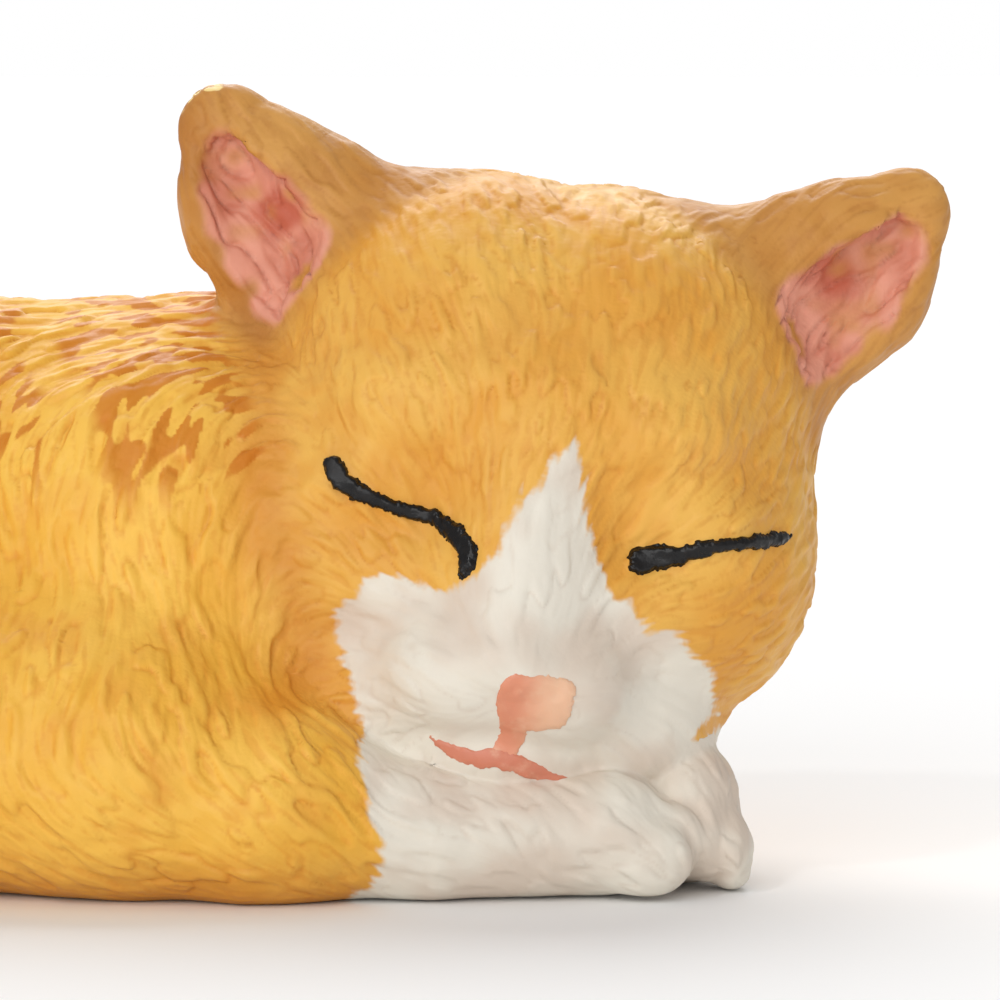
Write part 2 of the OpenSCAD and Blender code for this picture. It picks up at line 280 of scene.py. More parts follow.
PIECES = ["torso", "head", "ear_right", "ear_left", "foreleg_right", "foreleg_left",
          "hind_leg_right", "hind_leg_left", "tail"]
BLEND = {"ear_right": 1.5, "ear_left": 1.5, "foreleg_right": 3.0, "foreleg_left": 0.25,
         "hind_leg_right": 1.3, "hind_leg_left": 1.3, "tail": 0.5}
CHEEK_BLEND, CHIN_BLEND = 1.8, 0.35    # where the head meets the body, and where it rests on the forelegs
BASE_EDGE = 0.5                        # rounding along the edge of the flat foot
VENT_X, VENT_R, VENT_DEPTH = -8.0, 1.5, 3.0    # the hole in the foot that lets air out in firing


def fields(p):
    """The distance field of each casting alone, one column each."""
    q = to_head(p)
    return np.stack([torso_field(p), head_field(q), ear_field(q, -1), ear_field(q, 1),
                     foreleg_right_field(p), foreleg_left_field(p),
                     hind_leg_field(p, -1), hind_leg_field(p, 1), tail_field(p)], 1)


def form(p):
    """The whole figurine's distance field."""
    d = dict(zip(PIECES, fields(p).T))
    body = d["torso"]
    for name in ("hind_leg_right", "hind_leg_left", "foreleg_right", "foreleg_left", "tail"):
        body = join(body, d[name], BLEND[name])
    head = join(join(d["head"], d["ear_right"], BLEND["ear_right"]), d["ear_left"], BLEND["ear_left"])
    crease = CHIN_BLEND + (CHEEK_BLEND - CHIN_BLEND) * step(5, 10, p[:, 2])
    d = cut(join(body, head, crease), p[:, 2], BASE_EDGE)
    vent = limb(p, (VENT_X, MID_Y, -VENT_DEPTH), (VENT_X, MID_Y, VENT_DEPTH - VENT_R), VENT_R, VENT_R)
    return cut(d, vent, 0.2)


# ---- meshing -------------------------------------------------------------------------------
CELL = 0.55
LONGEST_MOVE = 0.3      # how far a point is moved onto the surface in one step


def surface_net(f, lo, hi, h):
    """A quad mesh of the surface f = 0, one vertex in each grid cell that the surface crosses."""
    dims = np.ceil((hi - lo) / h).astype(int) + 1
    axes = [lo[i] + h * np.arange(dims[i]) for i in range(3)]
    grid = np.empty(dims, F32)
    for i, x in enumerate(axes[0]):
        yy, zz = np.meshgrid(axes[1], axes[2], indexing="ij")
        pts = np.stack([np.full(yy.size, x), yy.ravel(), zz.ravel()], 1).astype(F32)
        grid[i] = f(pts).reshape(dims[1], dims[2])
    cells = tuple(dims - 1)
    total, count = np.zeros((*cells, 3)), np.zeros(cells)
    rims = []
    for axis in range(3):
        u, v = [a for a in range(3) if a != axis]
        a = np.take(grid, np.arange(dims[axis] - 1), axis)
        b = np.take(grid, np.arange(1, dims[axis]), axis)
        at = np.argwhere((a < 0) != (b < 0))
        at = at[(at[:, u] > 0) & (at[:, v] > 0) & (at[:, u] < dims[u] - 1) & (at[:, v] < dims[v] - 1)]
        fa, fb = a[tuple(at.T)], b[tuple(at.T)]
        place = at.astype(float)
        place[:, axis] += fa / (fa - fb)
        corners = []
        for du, dv in ((-1, -1), (0, -1), (0, 0), (-1, 0)):
            c = at.copy()
            c[:, u] += du
            c[:, v] += dv
            np.add.at(total, tuple(c.T), place)
            np.add.at(count, tuple(c.T), 1)
            corners.append(np.ravel_multi_index(tuple(c.T), cells))
        quad = np.stack(corners, 1)
        flip = (fa < 0) != (axis == 1)
        quad[~flip] = quad[~flip][:, ::-1]
        rims.append(quad)
    quads = np.concatenate(rims)
    used, quads = np.unique(quads, return_inverse=True)
    quads = quads.reshape(-1, 4)
    points = (total.reshape(-1, 3)[used] / count.ravel()[used][:, None]) * h + lo
    return points.astype(F32), quads


def gradient(f, p, e=0.04):
    out = 0
    for s in ((1, -1, -1), (-1, -1, 1), (-1, 1, -1), (1, 1, 1)):
        s = np.array(s, F32)
        out = out + s * f(p + s * F32(e))[:, None]
    return unit(out)


def onto(f, p, times=2):
    """Moves points onto the surface."""
    for _ in range(times):
        g = gradient(f, p)
        p = p - g * np.clip(f(p), -LONGEST_MOVE, LONGEST_MOVE)[:, None]
    return p.astype(F32)


def neighbours_mean(p, quads):
    total, count = np.zeros_like(p), np.zeros(len(p), F32)
    for i in range(4):
        a, b = quads[:, i], quads[:, (i + 1) % 4]
        for k in range(3):
            total[:, k] += np.bincount(a, p[b, k], len(p)) + np.bincount(b, p[a, k], len(p))
        count += np.bincount(a, minlength=len(p)) + np.bincount(b, minlength=len(p))
    return total / count[:, None]


def split(p, quads):
    """Each quad in four, with the new points on straight edges."""
    a, b = quads.ravel(), np.roll(quads, -1, 1).ravel()
    key = np.minimum(a, b).astype(np.int64) * len(p) + np.maximum(a, b)
    edges, which = np.unique(key, return_inverse=True)
    mids = (p[edges // len(p)] + p[edges % len(p)]) / 2
    centres = p[quads].mean(1)
    edge = which.reshape(-1, 4) + len(p)
    centre = np.arange(len(quads)) + len(p) + len(edges)
    parts = [np.stack([quads[:, i], edge[:, i], centre, edge[:, i - 1]], 1) for i in range(4)]
    return np.concatenate([p, mids, centres]).astype(F32), np.stack(parts, 1).reshape(-1, 4)


def rim_edges(quads):
    """Edges with a face on one side only, as pairs (a, b) in the face's own direction."""
    a, b = quads.ravel(), np.roll(quads, -1, 1).ravel()
    n = int(quads.max()) + 1
    forward, back = a.astype(np.int64) * n + b, b.astype(np.int64) * n + a
    alone = ~np.isin(forward, back)
    return a[alone], b[alone]


def label_quads(p, quads):
    """Which casting each quad belongs to. Neighbours vote, so that no slivers are left along the seams."""
    labels = np.argmin(fields(p[quads].mean(1).astype(F32)), 1)
    for _ in range(3):
        votes = np.zeros((len(p), len(PIECES)), int)
        for i in range(4):
            np.add.at(votes, (quads[:, i], labels), 1)
        labels = np.argmax(votes[quads].sum(1), 1)
    return labels


def straighten_seams(p, quads, labels):
    """Smooths the lines along which the castings meet."""
    lines = []
    for k in range(len(PIECES)):
        part = quads[labels == k]
        if len(part):
            lines.append(np.stack(rim_edges(part), 1))
    a, b = np.concatenate(lines).T
    for _ in range(3):
        total, count = np.zeros_like(p), np.zeros(len(p), F32)
        for k in range(3):
            total[:, k] = np.bincount(a, p[b, k], len(p)) + np.bincount(b, p[a, k], len(p))
        count = np.bincount(a, minlength=len(p)) + np.bincount(b, minlength=len(p))
        on = count > 0
        p[on] += 0.6 * (total[on] / count[on][:, None] - p[on])
        p[on] = onto(form, p[on], 1)
    return p


# ---- the lie of the coat -------------------------------------------------------------------


def coat_way(p, n, near):
    """Unit direction of the fur at each point, along the surface. near holds each casting's distance."""
    q = to_head(p)
    # The head's fur runs back from the nose, the body's down and towards the rump
    from_nose = (q - np.array([1.0, -12.5, -8.2], F32)) * np.array([1.0, 0.7, 1.0], F32)
    head_way = turn_from_head(unit(from_nose + np.array([0, 0.6, 0], F32)))
    back, base, flat = step(16, 26, p[:, 2]), step(9, 2, p[:, 2]), 0 * p[:, 2]
    body = np.stack([base - 0.9 * back, flat, -0.35 - 0.65 * (1 - back) * (1 - 0.6 * base)], 1)
    hind = np.stack([flat - 0.2, flat, flat - 1], 1)
    ear_r = np.broadcast_to(turn_from_head((EAR_WAY * [-1, 1, 1])[None].astype(F32)), p.shape)
    ear_l = np.broadcast_to(turn_from_head(EAR_WAY[None].astype(F32)), p.shape)
    far_arm = np.stack([flat + 0.4, flat - 1, flat - 0.5], 1)
    tail = np.stack([flat + 1, flat - 0.3, flat - 0.5], 1)
    ways = [body, head_way, ear_r, ear_l, body, far_arm, hind, hind, tail]
    w = np.exp(-np.clip(near - near.min(1, keepdims=True), 0, 20) / 0.9)
    total = sum(w[:, i:i + 1] * ways[i] for i in range(len(ways)))
    total = unit(total - n * np.einsum("ij,ij->i", total, n)[:, None])
    sway = 0.42 * noise(p, 2.8, 61) + 0.08 * noise(p, 1.2, 62)
    return unit(total + sway[:, None] * np.cross(n, total)).astype(F32)


# ---- paint outlines, seen from the face's front --------------------------------------------
# White blaze, muzzle, chest and paws: points (x, z) from the head's centre
WHITE = [(1.8, 2.2), (0.7, 0.9), (-0.3, -0.1), (-0.9, -1.5), (-1.3, -2.4), (-2.4, -3.4), (-3.6, -4.0),
         (-5.2, -3.5), (-6.8, -3.6), (-8.2, -5.0), (-7.5, -7.2), (-6.9, -10.0), (-6.6, -12.6), (-6.0, -14.0),
         (-6.1, -15.3), (-6.9, -16.2), (-8.2, -17.5), (12, -18), (12, -10.6), (6.9, -10.4), (7.8, -9.4),
         (7.6, -7.2), (6.7, -6.3), (5.1, -5.5), (3.4, -4.0), (2.9, -2.5), (2.4, -1.0), (2.2, 0.6)]


def polygon(x, z, points):
    """Signed distance to an outline, negative inside."""
    best, inside = np.full(len(x), 1e9, F32), np.zeros(len(x), bool)
    for (ax, az), (bx, bz) in zip(points, points[1:] + points[:1]):
        ex, ez = bx - ax, bz - az
        t = np.clip(((x - ax) * ex + (z - az) * ez) / (ex * ex + ez * ez), 0, 1)
        best = np.minimum(best, np.hypot(x - ax - t * ex, z - az - t * ez))
        inside ^= ((az > z) != (bz > z)) & (x < (z - az) * ex / (ez if ez else 1e-9) + ax)
    return np.where(inside, -best, best)


def stroke(x, z, points):
    """Signed distance to a brush stroke through points (x, z, half width)."""
    out = np.full(len(x), 1e9, F32)
    for a, b in zip(points, points[1:]):
        ex, ez = b[0] - a[0], b[1] - a[1]
        t = np.clip(((x - a[0]) * ex + (z - a[1]) * ez) / (ex * ex + ez * ez), 0, 1)
        out = np.minimum(out, np.hypot(x - a[0] - t * ex, z - a[1] - t * ez) - (a[2] + (b[2] - a[2]) * t))
    return out


# Brush strokes in the upright head's own frame: lists of points (x, z, half width)
STROKES = {
    "eye_line_right": [[(-8.2, 0.1, .40), (-7.8, -0.4, .44), (-7.0, -0.8, .34), (-5.7, -1.2, .28),
                        (-4.4, -1.4, .27), (-3.6, -1.5, .30), (-2.9, -1.9, .38), (-2.3, -2.4, .36),
                        (-2.2, -3.0, .26), (-2.4, -3.6, .08)]],
    "eye_line_left": [[(4.9, -2.2, .48), (5.7, -2.0, .46), (6.5, -1.8, .36), (7.3, -1.5, .32),
                       (8.2, -1.2, .24), (9.4, -1.0, .24), (10.8, -0.8, .28)]],
    "nose": [[(0.4, -7.75, .70), (2.2, -7.65, .62), (2.1, -8.6, .60), (0.8, -8.8, .70)],
             [(0.4, -8.3, .75), (0.5, -9.6, .6), (0.3, -10.6, .5)]],
    "mouth": [[(-2.8, -10.4, .10), (-1.8, -10.8, .32), (-0.9, -10.95, .36), (0.1, -10.85, .40),
               (1.0, -11.0, .38), (2.1, -11.4, .36), (3.0, -11.8, .32), (3.8, -11.65, .12)]],
}


def stroke_distance(q, name):
    return np.min([stroke(q[:, 0], q[:, 2], s) for s in STROKES[name]], 0)


# ---- build the carved surface --------------------------------------------------------------


def build_surface():
    pad = 3 * CELL
    p, quads = surface_net(form, ALL_LO - pad, ALL_HI + pad, CELL)
    p = onto(form, p, 2)
    for _ in range(3):
        p = p + 0.5 * (neighbours_mean(p, quads) - p)
        p = onto(form, p, 1)
    labels = label_quads(p, quads)
    p = straighten_seams(p, quads, labels)
    for _ in range(2):
        p, quads = split(p, quads)
        labels = np.repeat(labels, 4)
        p = onto(form, p, 1)
    return p, quads, labels


points, quads, labels = build_surface()
normals = gradient(form, points)
near = fields(points)
q_head = to_head(points)
way = coat_way(points, normals, near)


def share(width, *names):
    """1 on the named castings, falling to 0 over a width beyond them."""
    nearest = near.min(1)
    return np.max([step(width, -0.1, near[:, PIECES.index(n)] - nearest) for n in names], 0)


on_head, on_torso, on_tail = share(0.9, "head"), share(0.9, "torso"), share(0.9, "tail")
on_ear = share(0.9, "ear_right", "ear_left")
on_haunch = share(0.9, "hind_leg_right", "hind_leg_left")


# ---- the coat's tufts ----------------------------------------------------------------------
def ridged(x, sharp):
    """Rounded tufts with thin creases between them, 0 to 1."""
    return np.tanh(sharp * np.abs(x))


body_tufts = streaks(points, way, 0.50, 2.8, 1, 11)
head_tufts = streaks(points, way, 0.38, 1.9, 2)
muzzle = step(2.0, -1.0, polygon(points[:, 0] - HEAD[0], points[:, 2] - HEAD[2], WHITE))
fine_share = on_head * (1 - muzzle)
tufts = body_tufts * (1 - fine_share) + head_tufts * fine_share
hairs = streaks(points, way, 0.24, 1.2, 3, 7)
lumps = noise(points, 2.6, 4)
patchy = step(-0.5, 0.5, noise(points, 1.6, 6))
# Where the coat's material paints shade into the creases between tufts
crease = np.exp(-(tufts / 0.22) ** 2) * patchy


# ---- paint masks, and the masks for painted shade ------------------------------------------
def white_edge():
    """Signed distance to the white's edge, negative inside."""
    d = polygon(points[:, 0] - HEAD[0], points[:, 2] - HEAD[2], WHITE)
    d = d + 0.25 * noise(points, 1.3, 21) + 0.08 * tufts
    d = d + 8 * step(-3.0, -0.5, q_head[:, 1]) * (on_head > 0.3) + 20 * on_ear
    ragged = points[:, 0] + 0.8 * noise(points, 1.3, 22) + 0.4 * tufts
    far_paw = share(0.9, "foreleg_left") * step(HEAD[0] - 9, HEAD[0] - 6, ragged)
    d = np.where(far_paw > 0.5, -2.0, d)
    ginger = (on_haunch > 0.5) | (on_tail > 0.5) | ((points[:, 1] > MID_Y + 2) & (on_torso > 0.5))
    return np.where(ginger, 20.0, d)


EAR_CUP_SHADE_X, EAR_CUP_SHADE_Z = 11.9, 9.9       # middle of the deep red painted shade in the ear's hollow, in the upright head's frame


def ear_paint():
    """Pink in the cups, and deep red painted shade in the hollow at their bottom."""
    cup = np.minimum(cup_field(q_head, -1), cup_field(q_head, 1)) + 0.2 * noise(points, 0.8, 31)
    facing = step(0.6, -0.1, normals[:, 1]) * step(0.2, 0.7, on_ear)
    m = np.abs(q_head[:, [0, 2]])
    middle = np.hypot(m[:, 0] - EAR_CUP_SHADE_X, m[:, 1] - EAR_CUP_SHADE_Z) + 0.5 * noise(points, 0.9, 32)
    return step(0.3, -0.05, cup) * facing, step(1.5, 0.5, middle) * facing


def bare_edge():
    """Worn paint along the tip of the right ear."""
    d = stroke(-q_head[:, 0], q_head[:, 2], [(17.1, 13.6, .02), (16.3, 15.0, .1), (14.0, 15.6, .02)])
    return step(0.40, 0.05, d + 0.40 * noise(points, 0.4, 71)) * share(0.9, "ear_right")


STRIPE_PITCH, RING_PITCH = 8.5, 4.5    # from one brown band to the next, on the body and on the tail
FIRST_STRIPE = 15.5                    # from the head's centre back to the first band


def tabby():
    """Brown tufts in bands over the back, the haunches and the tail."""
    place = (points[:, 0] - HEAD[0] + FIRST_STRIPE) + 0.35 * (points[:, 2] - 20) + 0.9 * noise(points, 5, 41)
    band = step(-1.2, -0.3, np.cos(2 * math.pi * place / STRIPE_PITCH))
    over_back = step(15.5, 19.5, points[:, 2] + 1.5 * noise(points, 4, 42)) * on_torso
    over_haunch = 0.8 * on_haunch * step(5, 9, points[:, 2])
    rings = step(0, 0.8, np.cos(2 * math.pi * (points[:, 0] + 0.6 * points[:, 1]) / RING_PITCH)) * on_tail
    brown = step(-0.1, 0.6, streaks(points, way, 0.38, 2.3, 43, 13))
    return (band * np.clip(over_back + over_haunch, 0, 1) + rings) * brown


def neck_fold_shade():
    """Painted shade in the fold between cheek and body, darker where head and torso meet."""
    apart = np.abs(near[:, PIECES.index("head")] - near[:, PIECES.index("torso")])
    apart = apart + 0.5 * noise(points, 1.8, 81)
    return step(1.6, 0.1, apart) * step(6, 9, points[:, 2])


white = white_edge()
is_white = step(0.15, -0.15, white)
pink, ear_cup_shade = ear_paint()

# ---- carving -------------------------------------------------------------------------------
folds = ridged(streaks(points, way, 0.5, 3.4, 5), 1.6)
near_nose = norm((q_head - np.array([1.0, -12, -8.6], F32)) * np.array([0.8, 0.5, 1.0], F32))
FUR_DEPTH, HEAD_LESS = 0.20, 0.07      # depth of the carved fur, and how much less it is on the head
depth = (FUR_DEPTH - HEAD_LESS * on_head) * (1 - 0.35 * is_white) * (1 - 0.55 * on_ear)
depth = depth * (1 - 0.75 * step(3.4, 1.6, near_nose)) * step(0.05, 1.2, points[:, 2])
coat_height = 0.45 * np.tanh(1.2 * tufts) + 0.7 * patchy * (ridged(tufts, 2.0) - 0.7) + 0.14 * np.tanh(hairs)
relief = depth * coat_height + 0.06 * lumps * (1 - on_ear)
relief = relief + 0.30 * pink * (folds - 0.6) + 0.03 * is_white
carved = (points + normals * relief[:, None]).astype(F32)
carved[:, 2] = np.maximum(carved[:, 2], 0)


def vertex_normals(p, quads):
    """Smooth normals of the whole surface, so that no seam shows where the castings meet."""
    n = np.cross(p[quads[:, 2]] - p[quads[:, 0]], p[quads[:, 3]] - p[quads[:, 1]])
    total = np.stack([sum(np.bincount(quads[:, i], n[:, k], len(p)) for i in range(4)) for k in range(3)], 1)
    return unit(total).astype(F32)


carved_normals = vertex_normals(carved, quads)
ATTRIBUTES = {
    "white_edge": white, "pink": pink, "ear_cup_shade": ear_cup_shade, "bare": bare_edge(), "tuft": tufts, "crease": crease,
    "neck_fold_shade": neck_fold_shade(), "stripe": tabby(), "head_share": share(3.0, "head"),
    "ear_share": share(2.0, "ear_right", "ear_left"), "way": way,
}


# ---- Blender objects -----------------------------------------------------------------------


def make_object(name, verts, faces, attributes=None, given_normals=None):
    """faces is a list of integer arrays, one row a face."""
    mesh = bpy.data.meshes.new(name)
    mesh.vertices.add(len(verts))
    mesh.vertices.foreach_set("co", (verts * MM).astype(F32).ravel())
    loops = np.concatenate([f.ravel() for f in faces])
    sizes = np.concatenate([np.full(len(f), f.shape[1]) for f in faces])
    starts = np.concatenate([[0], np.cumsum(sizes)[:-1]])
    mesh.loops.add(len(loops))
    mesh.loops.foreach_set("vertex_index", loops.astype(np.int32))
    mesh.polygons.add(len(sizes))
    mesh.polygons.foreach_set("loop_start", starts.astype(np.int32))
    mesh.polygons.foreach_set("use_smooth", np.ones(len(sizes), bool))
    mesh.update(calc_edges=True)
    for key, values in (attributes or {}).items():
        flat = values.ndim == 1
        layer = mesh.attributes.new(key, "FLOAT" if flat else "FLOAT_VECTOR", "POINT")
        layer.data.foreach_set("value" if flat else "vector", values.astype(F32).ravel())
    if given_normals is not None:
        mesh.normals_split_custom_set_from_vertices(given_normals.astype(F32))
    obj = bpy.data.objects.new(name, mesh)
    bpy.context.scene.collection.objects.link(obj)
    return obj


def loops_of(a, b):
    """Groups rim edges into closed loops, as lists of edge numbers."""
    parent = {}

    def find(x):
        while parent.setdefault(x, x) != x:
            parent[x] = parent[parent[x]]
            x = parent[x]
        return x

    for s, t in zip(a.tolist(), b.tolist()):
        parent[find(s)] = find(t)
    groups = {}
    for i, s in enumerate(a.tolist()):
        groups.setdefault(find(s), []).append(i)
    return list(groups.values())


CAP_TUCK = 0.6        # how far a casting's cap is tucked in below its rim


def casting(name):
    """One casting: its share of the surface, closed where it meets its neighbours."""
    part = quads[labels == PIECES.index(name)]
    used, local = np.unique(part, return_inverse=True)
    local = local.reshape(-1, 4)
    verts = carved[used]
    a, b = rim_edges(local)
    rim = np.unique([a, b])
    inner_rim = dict(zip(rim.tolist(), range(len(verts), len(verts) + len(rim))))
    tucked = verts[rim] - normals[used][rim] * F32(CAP_TUCK)
    ia, ib = (np.array([inner_rim[v] for v in side.tolist()], int) for side in (a, b))
    caps, centres = [], []
    for group in loops_of(a, b):
        centre = len(verts) + len(rim) + len(centres)
        centres.append(tucked[np.searchsorted(rim, a[group])].mean(0))
        caps.append(np.stack([ib[group], ia[group], np.full(len(group), centre)], 1))
    verts = np.concatenate([verts, tucked, np.array(centres, F32).reshape(-1, 3)])
    faces = [local, np.stack([b, a, ia, ib], 1), np.concatenate(caps)]
    # The tucked rim takes its paint and normals from the rim, and the centres from any point of it
    taken = np.concatenate([used, used[rim], np.full(len(centres), used[rim[0]])])
    attributes = {k: v[taken] for k, v in ATTRIBUTES.items()}
    smooth = carved_normals[taken]
    return make_object(name + "_fur", verts, faces, attributes, smooth)


BEAD_LIFT, BEAD_ROOT = 0.05, 0.45      # how far a stroke stands clear of the form, and reaches into it


def bead(name, height):
    """A raised stroke of thick paint, lying on the head."""
    d = stroke_distance(q_head, name)
    front = q_head[quads, 1].max(1) < -4
    keep = (labels == PIECES.index("head")) & (d[quads].min(1) < 0.25) & front
    part = quads[keep]
    used, local = np.unique(part, return_inverse=True)
    local = local.reshape(-1, 4)
    both = np.concatenate([points[used], normals[used]], 1)
    for _ in range(2):
        both, local = split(both, local)
    base, n = both[:, :3], unit(both[:, 3:])
    q = to_head(base)
    edge = stroke_distance(q, name) + 0.08 * noise(base, 0.35, 51) + 0.06 * noise(base, 0.12, 52)
    inside = np.clip(-edge / 0.22, 0, 1)
    # Domed inside the stroke, and sunk under the fur outside it
    tall = height * np.sqrt(1 - (1 - inside) ** 2) - 0.25 * np.clip(edge / 0.15, 0, 1)
    tall = tall + 0.04 * noise(base, 0.4, 53) * (inside > 0)
    top = base + n * (tall + BEAD_LIFT)[:, None]
    bottom = base - n * BEAD_ROOT
    a, b = rim_edges(local)
    sides = np.stack([b, a, a + len(top), b + len(top)], 1)
    faces = [local, local[:, ::-1] + len(top), sides]
    attributes = {"edge": np.concatenate([edge, edge]), "across": np.concatenate([q[:, 0], q[:, 0]])}
    return make_object(name + "_paint", np.concatenate([top, bottom]), faces, attributes)


# ---- materials -----------------------------------------------------------------------------


class Graph:
    """A small helper for node trees."""

    def __init__(self, name):
        self.material = bpy.data.materials.new(name)
        self.material.use_nodes = True
        self.tree = self.material.node_tree
        self.shader = self.tree.nodes["Principled BSDF"]

    def put(self, target, value):
        if hasattr(value, "is_linked") or isinstance(value, bpy.types.NodeSocket):
            self.tree.links.new(value, target)
        else:
            target.default_value = value

    def node(self, kind, out=0, inputs=None, **settings):
        n = self.tree.nodes.new(kind)
        for k, v in settings.items():
            setattr(n, k, v)
        for k, v in (inputs or {}).items():
            self.put(n.inputs[k], v)
        return n.outputs[out]

    def attribute(self, name):
        return self.node("ShaderNodeAttribute", "Fac", attribute_name=name)

    def maths(self, operation, a, b=0.0, c=0.0):
        return self.node("ShaderNodeMath", inputs={0: a, 1: b, 2: c}, operation=operation)

    def span(self, value, lo, hi, to_lo=0.0, to_hi=1.0):
        return self.node("ShaderNodeMapRange", interpolation_type="SMOOTHSTEP",
                         inputs={0: value, 1: lo, 2: hi, 3: to_lo, 4: to_hi})

    def mix(self, share, a, b, blend="MIX"):
        n = self.tree.nodes.new("ShaderNodeMix")
        n.data_type, n.blend_type = "RGBA", blend
        self.put(n.inputs[0], share)
        self.put(n.inputs[6], a)
        self.put(n.inputs[7], b)
        return n.outputs[2]

    def noise(self, scale, detail=3.0, rough=0.5):
        coords = self.node("ShaderNodeTexCoord", "Object")
        return self.node("ShaderNodeTexNoise", "Fac",
                         inputs={"Vector": coords, "Scale": scale, "Detail": detail, "Roughness": rough})

    def vector(self, operation, a, b, scale=1.0):
        n = self.tree.nodes.new("ShaderNodeVectorMath")
        n.operation = operation
        self.put(n.inputs[0], a)
        if operation == "SCALE":
            self.put(n.inputs[3], scale)
        else:
            self.put(n.inputs[1], b)
        return n.outputs[0]

    def hairs(self, scale, length, taps=6):
        """Noise smeared along the lie of the coat: single hairs, finer than the mesh."""
        coords = self.node("ShaderNodeTexCoord", "Object")
        lie = self.node("ShaderNodeAttribute", "Vector", attribute_name="way")
        total = 0.0
        for k in range(taps):
            at = self.vector("ADD", coords, self.vector("SCALE", lie, None, length * (k / (taps - 1) - 0.5)))
            tap = self.node("ShaderNodeTexNoise", "Fac", inputs={"Vector": at, "Scale": scale, "Detail": 0.0})
            total = self.maths("ADD", total, tap)
        return self.maths("DIVIDE", total, float(taps))

    def set(self, **values):
        for k, v in values.items():
            self.put(self.shader.inputs[k.replace("_", " ")], v)


def srgb(r, g, b):
    lin = [(c / 255 / 12.92) if c <= 10 else ((c / 255 + 0.055) / 1.055) ** 2.4 for c in (r, g, b)]
    return (*lin, 1.0)


# Paint colours. The gingers are each given for the body, the head and the ears.
GINGER_LIGHT = (240, 188, 80), (229, 176, 82), (204, 148, 76)
GINGER_MIDDLE = (231, 172, 62), (220, 156, 62), (190, 130, 60)
# The deep gingers below are a darker tone of paint, and also painted shade in creases, grooves and the neck
# fold.
GINGER_DEEP = (214, 134, 38), (204, 130, 44), (168, 106, 46)
# The foot colour below is painted shade, near the floor where the body curves under.
BROWN_TUFT, FOOT_PAINTED_SHADE, BARE_EDGE = (198, 112, 22), (190, 118, 48), (240, 212, 140)
# The ears' deep red below is painted shade, in the hollow of the cups.
EAR_PINK_LIGHT, EAR_PINK_DEEP, EAR_CUP_SHADE = (222, 152, 128), (202, 126, 102), (188, 98, 74)
# The chalk crease colour below is painted shade in the creases of the white.
CHALK, CHALK_WARM, CHALK_CREASE_SHADE = (226, 219, 205), (215, 200, 184), (200, 182, 164)
BLACK, BLACK_WORN = (6, 4, 5), (18, 14, 14)
NOSE_LEFT, NOSE_RIGHT, PINK_SCUFF, LIP = (220, 142, 110), (230, 182, 148), (236, 200, 168), (206, 124, 96)


